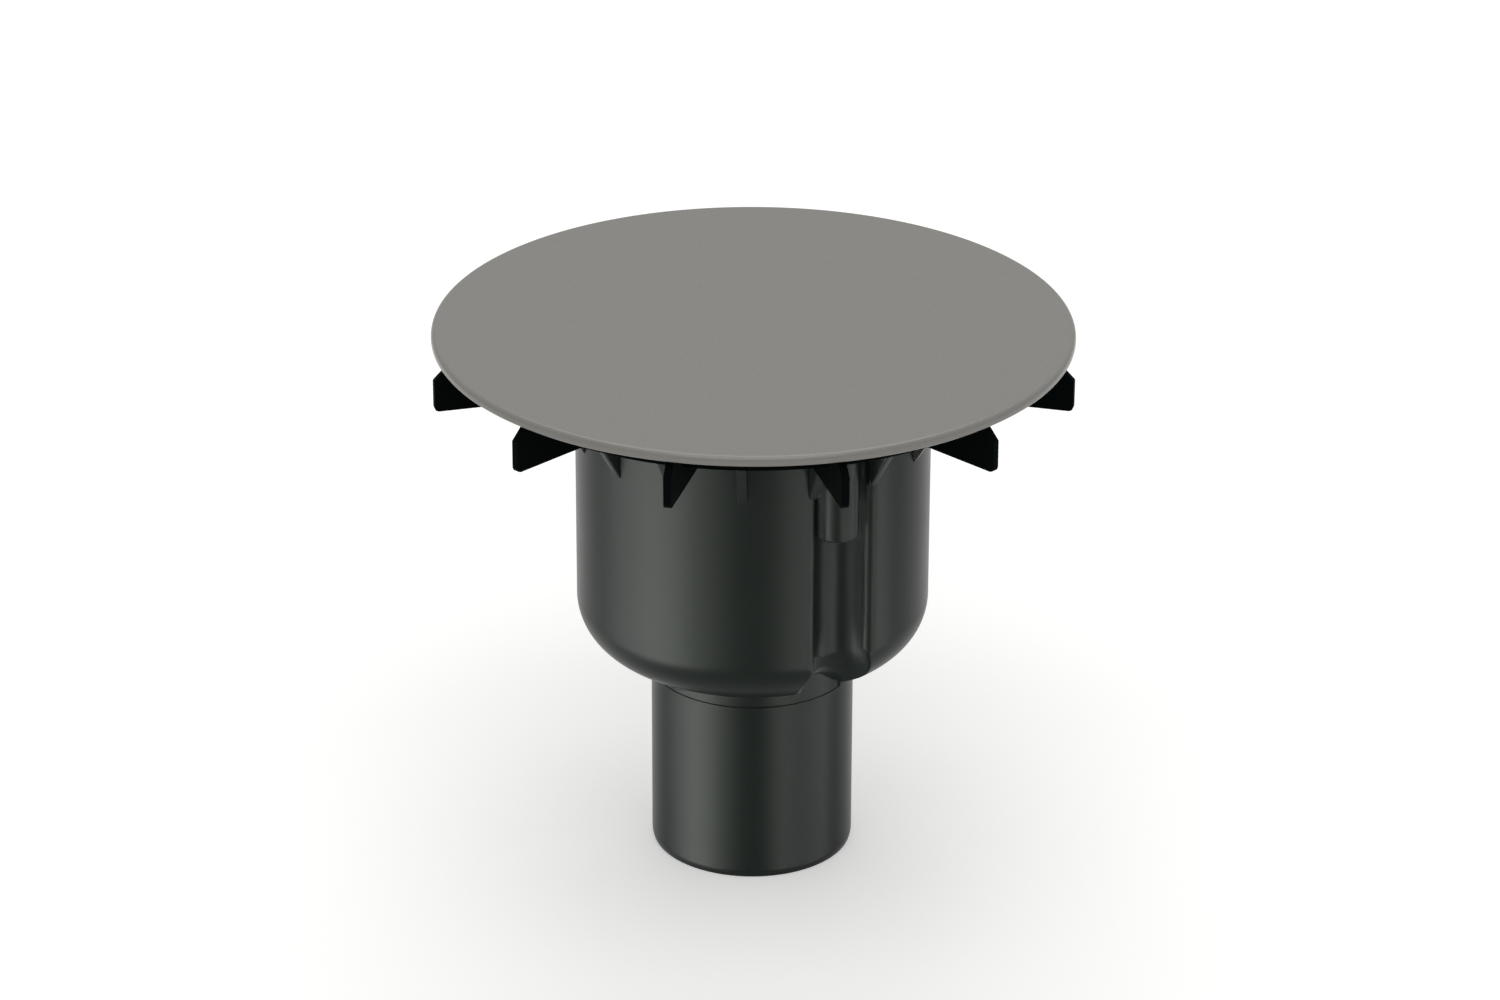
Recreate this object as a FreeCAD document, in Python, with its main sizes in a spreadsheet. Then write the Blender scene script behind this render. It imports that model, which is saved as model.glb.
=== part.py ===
"""Shower tray drain with a vertical outlet, as a parametric document in millimetres.

The origin is the centre of the outlet's lower end, +Z is up, and the two clamp screws stand on the Y axis.
"""

import FreeCAD
import Part
import math
import os
import Sketcher
from FreeCAD import Placement, Rotation, Vector

# Driving dimensions: alias and value, in millimetres unless the alias ends in _count
DIMENSIONS = (
    # Outlet spigot and its standpipe
    ("outlet_radius", 25.0),
    ("outlet_wall", 2.5),
    ("outlet_length", 47.3),
    ("outlet_end_step", 0.4),
    ("outlet_end_chamfer", 1.5),
    ("joint_chamfer", 0.3),
    ("joint_clearance", 0.05),
    ("reducer_length", 5.0),
    ("standpipe_radius", 21.5),
    ("standpipe_wall", 2.0),
    # Trap body
    ("neck_height", 6.9),
    ("neck_rib_count", 3),
    ("neck_rib_width", 2.0),
    ("neck_rib_height", 0.5),
    ("cup_radius", 43.3),
    ("cup_height", 68.6),
    ("cup_wall", 2.5),
    ("bowl_rounding", 13.5),
    ("flange_radius", 51.0),
    ("flange_thickness", 2.2),
    ("gusset_count", 16),
    ("gusset_thickness", 2.4),
    ("gusset_height", 12.2),
    ("gusset_reach", 7.4),
    ("groove_centre", 42.0),
    ("groove_radius", 7.0),
    ("groove_bottom_rounding", 9.0),
    ("boss_centre", 39.4),
    ("boss_radius", 5.25),
    ("boss_height", 24.5),
    # Threaded inserts and countersunk screws
    ("insert_radius", 3.0),
    ("insert_length", 9.0),
    ("screw_radius", 2.0),
    ("screw_length", 25.0),
    ("screw_head_radius", 3.8),
    ("screw_head_rim", 0.3),
    ("screw_clearance", 0.25),
    ("screw_hole_spare", 1.5),
    ("thread_clearance", 0.05),
    ("recess_width", 1.0),
    ("recess_span", 4.2),
    ("recess_depth", 1.2),
    # Seals and clamp flange
    ("seal_inner_radius", 45.5),
    ("seal_inset", 0.5),
    ("seal_thickness", 1.0),
    ("clamp_inner_radius", 34.0),
    ("clamp_thickness", 2.0),
    ("clamp_slope", 1.0),
    # Trap bell
    ("water_seal", 50.0),
    ("bell_floor_gap", 5.3),
    ("bell_radius", 30.5),
    ("bell_wall", 1.8),
    ("bell_rise", 6.0),
    ("bell_shoulder", 6.0),
    ("bell_rib_count", 4),
    ("bell_rib_thickness", 1.6),
    ("bell_rib_drop", 20.0),
    ("bell_clearance", 0.4),
    ("grip_width", 26.0),
    ("grip_height", 8.0),
    ("grip_thickness", 2.4),
    ("grip_rounding", 4.0),
    # Fin carrier
    ("fin_count", 12),
    ("fin_thickness", 2.0),
    ("fin_radius", 79.0),
    ("fin_height", 11.2),
    ("fin_chamfer", 3.4),
    ("fin_corner_radius", 1.0),
    ("fin_clearance", 2.0),
    ("carrier_height", 6.8),
    ("carrier_radius", 68.0),
    ("carrier_plate", 1.8),
    ("carrier_lip_height", 5.4),
    ("carrier_lip_wall", 2.0),
    # Cover plate
    ("cover_radius", 77.7),
    ("cover_thickness", 2.4),
    ("cover_top_rounding", 1.3),
    ("cover_bottom_rounding", 0.6),
)


class Size:
    """A length together with the sheet expression that it comes from."""

    def __init__(self, value, text):
        self.value = value
        self.text = text

    def combine(self, sign, other, value):
        other_text = other.text if isinstance(other, Size) else str(other)
        return Size(value, f"({self.text} {sign} {other_text})")

    def __add__(self, other):
        return self.combine("+", other, self.value + number(other))

    def __sub__(self, other):
        return self.combine("-", other, self.value - number(other))

    def __mul__(self, other):
        return self.combine("*", other, self.value * number(other))

    def __truediv__(self, other):
        return self.combine("/", other, self.value / number(other))

    def __neg__(self):
        return self * -1


def number(size):
    return size.value if isinstance(size, Size) else float(size)


def bind(target, path, size):
    target.setExpression(path, size.text if isinstance(size, Size) else str(size))


class Sizes:
    """The driving dimensions by alias, and the levels that follow from them."""

    def __init__(self, sheet):
        for row, (alias, value) in enumerate(DIMENSIONS, start=1):
            sheet.set(f"A{row}", alias)
            sheet.set(f"B{row}", str(value))
            sheet.setAlias(f"B{row}", alias)
            setattr(self, alias, Size(float(value), f"dims.{alias}"))
        self.outlet_bore = self.outlet_radius - self.outlet_wall
        self.cup_floor = self.outlet_length + self.neck_height
        self.cup_inner_floor = self.cup_floor + self.cup_wall
        self.cup_inner_radius = self.cup_radius - self.cup_wall
        self.standpipe_bore = self.standpipe_radius - self.standpipe_wall
        self.neck_bore = self.standpipe_radius + self.joint_clearance
        self.flange_under = self.cup_floor + self.cup_height
        self.flange_top = self.flange_under + self.flange_thickness
        self.groove_valley = self.groove_centre - self.groove_radius
        self.clamp_under = self.flange_top + self.seal_thickness * 2
        self.clamp_top = self.clamp_under + self.clamp_thickness
        self.screw_end = self.clamp_top - self.screw_length
        self.bell_edge = self.cup_inner_floor + self.bell_floor_gap
        self.weir = self.bell_edge + self.water_seal
        self.bell_ceiling = self.weir + self.bell_rise
        self.bell_top = self.bell_ceiling + self.bell_wall
        self.cover_under = self.clamp_top + self.carrier_height


def new_body(doc, label):
    body = doc.addObject("PartDesign::Body", label)
    body.Label = label
    return body


def origin_feature(body, role):
    return next(feature for feature in body.Origin.OriginFeatures if feature.Role == role)


def sketch_on(body, name, plane, height=None, turn=None):
    """A sketch on an origin plane, raised along its normal or turned about the vertical axis."""
    sketch = body.newObject("Sketcher::SketchObject", name)
    sketch.AttachmentSupport = [(origin_feature(body, plane), "")]
    sketch.MapMode = "FlatFace"
    if height is not None:
        bind(sketch, "AttachmentOffset.Base.z", height)
    if turn is not None:
        sketch.AttachmentOffset = Placement(Vector(), Rotation(Vector(0, 1, 0), number(turn)))
        bind(sketch, "AttachmentOffset.Rotation.Angle", turn)
    return sketch


def pin_point(sketch, geometry, end, x, y):
    """Ties a point of the sketch to its two coordinates."""
    for kind, size in (("DistanceX", x), ("DistanceY", y)):
        constraint = Sketcher.Constraint(kind, -1, 1, geometry, end, number(size))
        index = sketch.addConstraint(constraint)
        if isinstance(size, Size):
            bind(sketch, f"Constraints[{index}]", size)


def arc_between(start, end, radius):
    """The arc that turns left from start to end."""
    chord = end - start
    left = Vector(-chord.y, chord.x, 0).normalize()
    centre = (start + end) / 2 + left * math.sqrt(radius**2 - (chord.Length / 2) ** 2)
    first = math.atan2(start.y - centre.y, start.x - centre.x)
    last = math.atan2(end.y - centre.y, end.x - centre.x)
    return Part.ArcOfCircle(Part.Circle(centre, Vector(0, 0, 1), radius), first, last)


def outline(sketch, points):
    """A closed outline, run anticlockwise. A point with a third value starts an arc of that radius."""
    first = sketch.GeometryCount
    count = len(points)
    places = [Vector(number(point[0]), number(point[1]), 0) for point in points]
    for i, point in enumerate(points):
        start, end = places[i], places[(i + 1) % count]
        if len(point) == 3:
            sketch.addGeometry(arc_between(start, end, number(point[2])))
        else:
            sketch.addGeometry(Part.LineSegment(start, end))
    for i, point in enumerate(points):
        previous = first + (i - 1) % count
        sketch.addConstraint(Sketcher.Constraint("Coincident", previous, 2, first + i, 1))
        pin_point(sketch, first + i, 1, point[0], point[1])
        if len(point) == 3:
            radius = Sketcher.Constraint("Radius", first + i, number(point[2]))
            bind(sketch, f"Constraints[{sketch.addConstraint(radius)}]", point[2])


def disc(sketch, radius, x=0, y=0):
    """A circle with its centre tied to two coordinates."""
    place = Vector(number(x), number(y), 0)
    circle = sketch.addGeometry(Part.Circle(place, Vector(0, 0, 1), number(radius)))
    pin_point(sketch, circle, 3, x, y)
    constraint = Sketcher.Constraint("Radius", circle, number(radius))
    bind(sketch, f"Constraints[{sketch.addConstraint(constraint)}]", radius)


def revolve(body, name, points):
    """A solid of revolution about the vertical axis, from an outline of radius and height."""
    sketch = sketch_on(body, name + "_profile", "XZ_Plane")
    outline(sketch, points)
    feature = body.newObject("PartDesign::Revolution", name)
    feature.Profile = sketch
    feature.ReferenceAxis = (sketch, ["V_Axis"])
    feature.Angle = 360
    return feature


def extrude(body, kind, name, sketch, length, symmetric=False):
    feature = body.newObject("PartDesign::" + kind, name)
    feature.Profile = sketch
    feature.SideType = "Symmetric" if symmetric else "One side"
    bind(feature, "Length", length)
    return feature


def half_pitch(count):
    """Half the angle, in degrees, from one of that many even places to the next."""
    return Size(180 / number(count), f"180 / {count.text}")


def ring_of(body, name, feature, count):
    """Repeats a feature evenly about the vertical axis."""
    pattern = body.newObject("PartDesign::PolarPattern", name)
    pattern.Originals = [feature]
    pattern.Axis = (origin_feature(body, "Z_Axis"), [""])
    pattern.Angle = 360
    bind(pattern, "Occurrences", count)
    body.Tip = pattern
    return pattern


def round_edges(body, name, base, radius, chosen):
    """A fillet on the edges of the base feature that the test picks."""
    body.Document.recompute()
    names = [f"Edge{i}" for i, edge in enumerate(base.Shape.Edges, start=1) if chosen(edge)]
    fillet = body.newObject("PartDesign::Fillet", name)
    fillet.Base = (base, names)
    bind(fillet, "Radius", radius)
    body.Tip = fillet
    return fillet


def rim_at(radius, height):
    """Picks the circular edge of that radius and height about the vertical axis."""
    near = 0.01

    def chosen(edge):
        curve = edge.Curve
        return (
            isinstance(curve, Part.Circle)
            and abs(curve.Radius - number(radius)) < near
            and abs(curve.Center.z - number(height)) < near
            and math.hypot(curve.Center.x, curve.Center.y) < near
        )

    return chosen


def upright_rod(doc, name, radius, y, bottom, top):
    rod = doc.addObject("Part::Cylinder", name)
    bind(rod, "Radius", radius)
    bind(rod, "Height", top - bottom)
    bind(rod, "Placement.Base.y", y)
    bind(rod, "Placement.Base.z", bottom)
    return rod


def joined(doc, name, shapes):
    fuse = doc.addObject("Part::MultiFuse", name)
    fuse.Shapes = shapes
    fuse.Refine = True
    return fuse


def cut(doc, name, base, tool):
    result = doc.addObject("Part::Cut", name)
    result.Base = base
    result.Tool = tool
    result.Refine = True
    return result


def opposite(doc, name, source):
    """The same shape on the other side of the XZ plane."""
    twin = doc.addObject("Part::Mirroring", name)
    twin.Source = source
    twin.Normal = Vector(0, 1, 0)
    return twin


def both_sides(doc, label, source):
    """One fastener and its twin opposite, as a group of two solids."""
    pair = doc.addObject("Part::Compound", label)
    pair.Links = [source, opposite(doc, label + "_twin", source)]
    pair.Label = label
    return pair


def make_cover_plate(doc, size):
    """Enamelled steel disc with a softly rounded top edge."""
    body = new_body(doc, "cover_plate")
    sketch = sketch_on(body, "cover_circle", "XY_Plane", height=size.cover_under)
    disc(sketch, size.cover_radius)
    plate = extrude(body, "Pad", "cover_disc", sketch, size.cover_thickness)
    top_rim = rim_at(size.cover_radius, size.cover_under + size.cover_thickness)
    top = round_edges(body, "cover_top_edge", plate, size.cover_top_rounding, top_rim)
    bottom_rim = rim_at(size.cover_radius, size.cover_under)
    round_edges(body, "cover_bottom_edge", top, size.cover_bottom_rounding, bottom_rim)
    return body


def make_fin_carrier(doc, size):
    """Moulded crown: a ring plate with an outer lip, and fins that hook over the clamped flanges."""
    body = new_body(doc, "fin_carrier")
    plate_under = size.cover_under - size.carrier_plate
    lip_under = size.cover_under - size.carrier_lip_height
    inner = size.clamp_inner_radius
    outer_lip = size.carrier_radius - size.carrier_lip_wall
    revolve(
        body,
        "carrier_ring",
        [
            (inner, plate_under),
            (outer_lip, plate_under),
            (outer_lip, lip_under),
            (size.carrier_radius, lip_under),
            (size.carrier_radius, size.cover_under),
            (inner, size.cover_under),
        ],
    )
    fin_under = size.cover_under - size.fin_height
    step = size.flange_radius + size.fin_clearance
    corner = size.fin_corner_radius
    sketch = sketch_on(body, "fin_profile", "XZ_Plane", turn=half_pitch(size.fin_count))
    outline(
        sketch,
        [
            (inner, size.clamp_top),
            (step, size.clamp_top),
            (step, fin_under),
            (size.fin_radius - corner, fin_under, corner),
            (size.fin_radius, fin_under + corner),
            (size.fin_radius, size.cover_under - size.fin_chamfer),
            (size.fin_radius - size.fin_chamfer, size.cover_under),
            (inner, size.cover_under),
        ],
    )
    fin = extrude(body, "Pad", "fin", sketch, size.fin_thickness, symmetric=True)
    ring_of(body, "fins", fin, size.fin_count)
    return body


def make_clamp_flange(doc, size):
    """Stainless ring with an inner edge that slopes into the trap and two countersunk holes."""
    body = new_body(doc, "clamp_flange")
    inner = size.clamp_inner_radius
    revolve(
        body,
        "clamp_ring",
        [
            (inner, size.clamp_under),
            (size.flange_radius, size.clamp_under),
            (size.flange_radius, size.clamp_top),
            (inner + size.clamp_slope, size.clamp_top),
            (inner, size.clamp_top - size.clamp_slope),
        ],
    )
    sketch = sketch_on(body, "clamp_hole_centres", "XY_Plane", height=size.clamp_top)
    hole_radius = size.screw_radius + size.screw_clearance
    disc(sketch, hole_radius, 0, -size.boss_centre)
    disc(sketch, hole_radius, 0, size.boss_centre)
    doc.recompute()
    holes = body.newObject("PartDesign::Hole", "clamp_holes")
    holes.Profile = sketch
    holes.DepthType = "ThroughAll"
    bind(holes, "Diameter", hole_radius * 2)
    holes.HoleCutType = "Countersink"
    holes.HoleCutCustomValues = True
    holes.HoleCutCountersinkAngle = 90
    countersink_radius = size.screw_head_radius + size.screw_head_rim + size.thread_clearance
    bind(holes, "HoleCutDiameter", countersink_radius * 2)
    return body


def make_seal(doc, size, label, bottom):
    """Flat rubber ring between a flange and the tray."""
    body = new_body(doc, label)
    outer = size.flange_radius - size.seal_inset
    top = bottom + size.seal_thickness
    inner = size.seal_inner_radius
    revolve(body, label + "_ring", [(inner, bottom), (outer, bottom), (outer, top), (inner, top)])
    return body


def make_groove_tool(doc, size, name, spare, top):
    """A round rod that runs down the cup's wall and bends under its floor, thicker by the spare."""
    radius = size.groove_radius + spare
    bend_height = size.cup_floor + size.groove_bottom_rounding
    rod = upright_rod(doc, name + "_rod", radius, -size.groove_centre, bend_height, top)
    bend = doc.addObject("Part::Torus", name + "_bend")
    bind(bend, "Radius1", size.groove_bottom_rounding + size.groove_radius)
    bind(bend, "Radius2", radius)
    bend.Angle3 = 90
    outward, down, sideways = Vector(0, -1, 0), Vector(0, 0, -1), Vector(1, 0, 0)
    bend.Placement = Placement(Vector(), Rotation(outward, down, sideways, "XYZ"))
    bind(bend, "Placement.Base.y", size.groove_bottom_rounding - size.groove_valley)
    bind(bend, "Placement.Base.z", bend_height)
    return joined(doc, name, [rod, bend])


def make_cup_form(doc, size):
    """The cup's outside with its neck and neck ribs, as a full solid."""
    body = new_body(doc, "cup_form")
    neck = size.outlet_radius
    form = revolve(
        body,
        "cup_outside",
        [
            (0, size.outlet_length),
            (neck - size.joint_chamfer, size.outlet_length),
            (neck, size.outlet_length + size.joint_chamfer),
            (neck, size.cup_floor),
            (size.cup_radius, size.cup_floor),
            (size.cup_radius, size.flange_under),
            (0, size.flange_under),
        ],
    )
    floor_rim = rim_at(size.cup_radius, size.cup_floor)
    round_edges(body, "bowl_rounding", form, size.bowl_rounding, floor_rim)
    sketch = sketch_on(body, "neck_rib_profile", "XZ_Plane")
    rib_foot = size.outlet_length + size.joint_chamfer
    rib_face = -(neck + size.neck_rib_height)
    outline(
        sketch,
        [
            (rib_face, rib_foot),
            (-(neck - size.neck_rib_width), rib_foot),
            (-(neck - size.neck_rib_width), size.cup_inner_floor),
            (rib_face, size.cup_inner_floor),
        ],
    )
    rib = extrude(body, "Pad", "neck_rib", sketch, size.neck_rib_width, symmetric=True)
    ring_of(body, "neck_ribs", rib, size.neck_rib_count)
    return body


def make_collar_form(doc, size):
    """The cup's flange with its gussets and screw bosses, as a full solid."""
    body = new_body(doc, "collar_form")
    flange_sketch = sketch_on(body, "flange_circle", "XY_Plane", height=size.flange_under)
    disc(flange_sketch, size.flange_radius)
    extrude(body, "Pad", "flange_disc", flange_sketch, size.flange_thickness)
    boss_sketch = sketch_on(body, "boss_circles", "XY_Plane", height=size.flange_under - size.boss_height)
    disc(boss_sketch, size.boss_radius, 0, -size.boss_centre)
    disc(boss_sketch, size.boss_radius, 0, size.boss_centre)
    extrude(body, "Pad", "bosses", boss_sketch, size.boss_height + size.flange_thickness)
    sketch = sketch_on(body, "gusset_profile", "XZ_Plane", turn=half_pitch(size.gusset_count))
    gusset_root = size.cup_radius - size.cup_wall
    gusset_foot = size.flange_under - size.gusset_height
    outline(
        sketch,
        [
            (gusset_root, gusset_foot),
            (size.cup_radius, gusset_foot),
            (size.cup_radius + size.gusset_reach, size.flange_under),
            (size.cup_radius + size.gusset_reach, size.flange_top),
            (gusset_root, size.flange_top),
        ],
    )
    gusset = extrude(body, "Pad", "gusset", sketch, size.gusset_thickness, symmetric=True)
    ring_of(body, "gussets", gusset, size.gusset_count)
    return body


def make_cavity_form(doc, size):
    """The room inside the cup."""
    body = new_body(doc, "cavity_form")
    room = revolve(
        body,
        "cavity",
        [
            (0, size.cup_inner_floor),
            (size.cup_inner_radius, size.cup_inner_floor),
            (size.cup_inner_radius, size.flange_top),
            (0, size.flange_top),
        ],
    )
    floor_rim = rim_at(size.cup_inner_radius, size.cup_inner_floor)
    round_edges(body, "cavity_rounding", room, size.bowl_rounding - size.cup_wall, floor_rim)
    return body


def make_trap_body(doc, size):
    """One moulding: grooved cup with its flange, gussets, bosses and neck."""
    groove = make_groove_tool(doc, size, "groove", Size(0.0, "0"), size.flange_under)
    grooves = joined(doc, "grooves", [groove, opposite(doc, "groove_twin", groove)])
    grooved_cup = cut(doc, "grooved_cup", make_cup_form(doc, size), grooves)
    outside = joined(doc, "outside", [grooved_cup, make_collar_form(doc, size)])

    bulge = make_groove_tool(doc, size, "bulge", size.cup_wall, size.flange_top)
    bulges = joined(doc, "bulges", [bulge, opposite(doc, "bulge_twin", bulge)])
    inside = cut(doc, "inside", make_cavity_form(doc, size), bulges)

    insert_floor = size.flange_top - size.insert_length
    place = -size.boss_centre
    insert_hole = upright_rod(doc, "insert_hole", size.insert_radius, place, insert_floor, size.flange_top)
    screw_hole = upright_rod(
        doc,
        "screw_hole",
        size.screw_radius + size.screw_clearance,
        place,
        size.screw_end - size.screw_hole_spare,
        size.flange_top,
    )
    boss_hole = joined(doc, "boss_hole", [insert_hole, screw_hole])
    neck_hole = upright_rod(
        doc, "neck_hole", size.neck_bore, Size(0.0, "0"), size.outlet_length, size.cup_inner_floor
    )
    hollows = [inside, neck_hole, boss_hole, opposite(doc, "boss_hole_twin", boss_hole)]
    body = cut(doc, "trap_body", outside, joined(doc, "hollows", hollows))
    body.Label = "trap_body"
    return body


def make_threaded_inserts(doc, size):
    """Brass bushes, flush with the flange in the top of the bosses."""
    bottom = size.flange_top - size.insert_length
    place = -size.boss_centre
    bush = upright_rod(doc, "insert_bush", size.insert_radius, place, bottom, size.flange_top)
    bore_radius = size.screw_radius + size.thread_clearance
    bore = upright_rod(doc, "insert_bore", bore_radius, place, bottom, size.flange_top)
    return both_sides(doc, "threaded_inserts", cut(doc, "insert", bush, bore))


def make_flange_screws(doc, size):
    """Countersunk screws with a cross recess, flush with the clamp flange."""
    body = new_body(doc, "screw")
    rim = size.clamp_top - size.screw_head_rim
    cone_foot = rim - (size.screw_head_radius - size.screw_radius)
    revolve(
        body,
        "screw_shape",
        [
            (0, size.screw_end),
            (size.screw_radius, size.screw_end),
            (size.screw_radius, cone_foot),
            (size.screw_head_radius, rim),
            (size.screw_head_radius, size.clamp_top),
            (0, size.clamp_top),
        ],
    )
    sketch = sketch_on(body, "recess_cross", "XY_Plane", height=size.clamp_top)
    half = size.recess_width / 2
    tip = size.recess_span / 2
    outline(
        sketch,
        [
            (half, half),
            (half, tip),
            (-half, tip),
            (-half, half),
            (-tip, half),
            (-tip, -half),
            (-half, -half),
            (-half, -tip),
            (half, -tip),
            (half, -half),
            (tip, -half),
            (tip, half),
        ],
    )
    extrude(body, "Pocket", "recess", sketch, size.recess_depth)
    bind(body, "Placement.Base.y", -size.boss_centre)
    return both_sides(doc, "flange_screws", body)


def make_outlet_spigot(doc, size):
    """Pipe end that is welded under the neck and rises through it as the standpipe of the trap."""
    body = new_body(doc, "outlet_spigot")
    outer = size.outlet_radius
    joint = size.outlet_length
    revolve(
        body,
        "spigot",
        [
            (size.outlet_bore, 0),
            (outer - size.outlet_end_step, 0),
            (outer, size.outlet_end_chamfer),
            (outer, joint - size.joint_chamfer),
            (outer - size.joint_chamfer, joint),
            (size.standpipe_radius, joint),
            (size.standpipe_radius, size.weir),
            (size.standpipe_bore, size.weir),
            (size.standpipe_bore, joint),
            (size.outlet_bore, joint - size.reducer_length),
        ],
    )
    return body


def make_trap_bell(doc, size):
    """Bell that stands over the standpipe on inner ribs, with a grip to lift it out."""
    body = new_body(doc, "trap_bell")
    inner = size.bell_radius - size.bell_wall
    shell = revolve(
        body,
        "bell_shell",
        [
            (0, size.bell_ceiling),
            (inner, size.bell_ceiling),
            (inner, size.bell_edge),
            (size.bell_radius, size.bell_edge),
            (size.bell_radius, size.bell_top),
            (0, size.bell_top),
        ],
    )
    shoulder = rim_at(size.bell_radius, size.bell_top)
    outside = round_edges(body, "bell_shoulder", shell, size.bell_shoulder, shoulder)
    corner = rim_at(inner, size.bell_ceiling)
    round_edges(body, "bell_corner", outside, size.bell_shoulder - size.bell_wall, corner)

    sketch = sketch_on(body, "bell_rib_profile", "XZ_Plane", turn=half_pitch(size.bell_rib_count))
    guide = size.standpipe_radius + size.bell_clearance
    rib_root = inner + size.bell_wall / 2
    outline(
        sketch,
        [
            (size.standpipe_bore, size.weir),
            (guide, size.weir),
            (guide, size.weir - size.bell_rib_drop),
            (rib_root, size.weir - size.bell_rib_drop),
            (rib_root, size.bell_ceiling - size.bell_shoulder / 2),
            (inner - size.bell_shoulder / 2, size.bell_ceiling + size.bell_wall / 2),
            (size.standpipe_bore, size.bell_ceiling + size.bell_wall / 2),
        ],
    )
    rib = extrude(body, "Pad", "bell_rib", sketch, size.bell_rib_thickness, symmetric=True)
    ring_of(body, "bell_ribs", rib, size.bell_rib_count)

    grip_sketch = sketch_on(body, "grip_profile", "XZ_Plane")
    half_width = size.grip_width / 2
    grip_top = size.bell_top + size.grip_height
    grip_root = size.bell_ceiling + size.bell_wall / 2
    corner_radius = size.grip_rounding
    outline(
        grip_sketch,
        [
            (-half_width, grip_root),
            (half_width, grip_root),
            (half_width, grip_top - corner_radius, corner_radius),
            (half_width - corner_radius, grip_top),
            (corner_radius - half_width, grip_top, corner_radius),
            (-half_width, grip_top - corner_radius),
        ],
    )
    body.Tip = extrude(body, "Pad", "grip", grip_sketch, size.grip_thickness, symmetric=True)
    return body


def failed_objects(doc):
    return [obj.Label for obj in doc.Objects if {"Invalid", "Error"} & set(obj.State)]


def main():
    doc = FreeCAD.newDocument("shower_tray_drain")
    sheet = doc.addObject("Spreadsheet::Sheet", "dims")
    size = Sizes(sheet)
    doc.recompute()
    pieces = [
        make_cover_plate(doc, size),
        make_fin_carrier(doc, size),
        make_clamp_flange(doc, size),
        make_seal(doc, size, "lower_seal", size.flange_top),
        make_seal(doc, size, "upper_seal", size.flange_top + size.seal_thickness),
        make_trap_body(doc, size),
        make_threaded_inserts(doc, size),
        make_flange_screws(doc, size),
        make_outlet_spigot(doc, size),
        make_trap_bell(doc, size),
    ]
    doc.recompute()
    failed = failed_objects(doc)
    failed += [piece.Label for piece in pieces if piece.Shape.isNull() or not piece.Shape.isValid()]
    if failed:
        raise RuntimeError("failed: " + ", ".join(failed))
    os.makedirs("parts", exist_ok=True)
    for piece in pieces:
        piece.Shape.exportStep(f"parts/{piece.Label}.step")
        solids = len(piece.Shape.Solids)
        print(f"{piece.Label}: {solids} solid(s), {piece.Shape.Volume:.1f} mm3")


main()
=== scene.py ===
import math

import bmesh
import bpy
from mathutils import Matrix, Vector


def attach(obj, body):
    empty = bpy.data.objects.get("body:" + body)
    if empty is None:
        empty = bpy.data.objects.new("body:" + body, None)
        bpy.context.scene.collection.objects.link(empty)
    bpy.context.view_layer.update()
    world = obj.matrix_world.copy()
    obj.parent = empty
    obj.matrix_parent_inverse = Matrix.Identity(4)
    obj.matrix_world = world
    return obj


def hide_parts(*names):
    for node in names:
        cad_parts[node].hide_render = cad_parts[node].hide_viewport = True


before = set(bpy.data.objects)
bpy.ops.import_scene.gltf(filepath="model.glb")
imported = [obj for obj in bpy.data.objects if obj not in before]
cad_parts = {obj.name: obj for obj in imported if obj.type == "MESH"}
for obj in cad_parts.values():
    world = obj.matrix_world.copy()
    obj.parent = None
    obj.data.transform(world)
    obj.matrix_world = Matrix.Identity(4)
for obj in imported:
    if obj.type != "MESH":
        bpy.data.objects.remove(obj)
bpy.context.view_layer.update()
mm = 0.001  # the frame is in metres, the sizes below are in millimetres
scene = bpy.context.scene
scene.view_settings.view_transform = "Standard"


def linearColour(code):
    # sRGB hex to the linear values that shader sockets take
    parts = [int(code[i:i + 2], 16) / 255 for i in (1, 3, 5)]
    return [c / 12.92 if c < 0.04045 else ((c + 0.055) / 1.055) ** 2.4 for c in parts] + [1.0]


def addNode(tree, kind, settings=None, **inputs):
    # a socket gets a plain value, or a link where the value is another node's output
    # an input named _6 is the socket with that number
    node = tree.nodes.new(kind)
    for name, value in (settings or {}).items():
        setattr(node, name, value)
    for name, value in inputs.items():
        key = int(name[1:]) if name[1:].isdigit() else name.replace("_", " ")
        if isinstance(value, bpy.types.NodeSocket):
            tree.links.new(value, node.inputs[key])
        else:
            node.inputs[key].default_value = value
    return node


def newMaterial(name):
    material = bpy.data.materials.new(name)
    material.use_nodes = True
    tree = material.node_tree
    tree.nodes.clear()
    place = addNode(tree, "ShaderNodeTexCoord").outputs["Object"]
    shader = addNode(tree, "ShaderNodeBsdfPrincipled")
    addNode(tree, "ShaderNodeOutputMaterial", Surface=shader.outputs["BSDF"])
    return material, tree, place, shader


def setSockets(shader, **values):
    for name, value in values.items():
        shader.inputs[name.replace("_", " ")].default_value = value


def perMetre(size):
    # texture scale for a pattern whose features are this many millimetres across
    return 1 / (size * mm)


enamel = {"colour": "#86847F", "paler": "#898782", "roughness": 0.27, "specular": 0.5,
          "peel": 1.6, "peelDepth": 0.02, "speckle": 0.7, "speckleFrom": 0.45, "speckleTo": 0.75}


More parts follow.
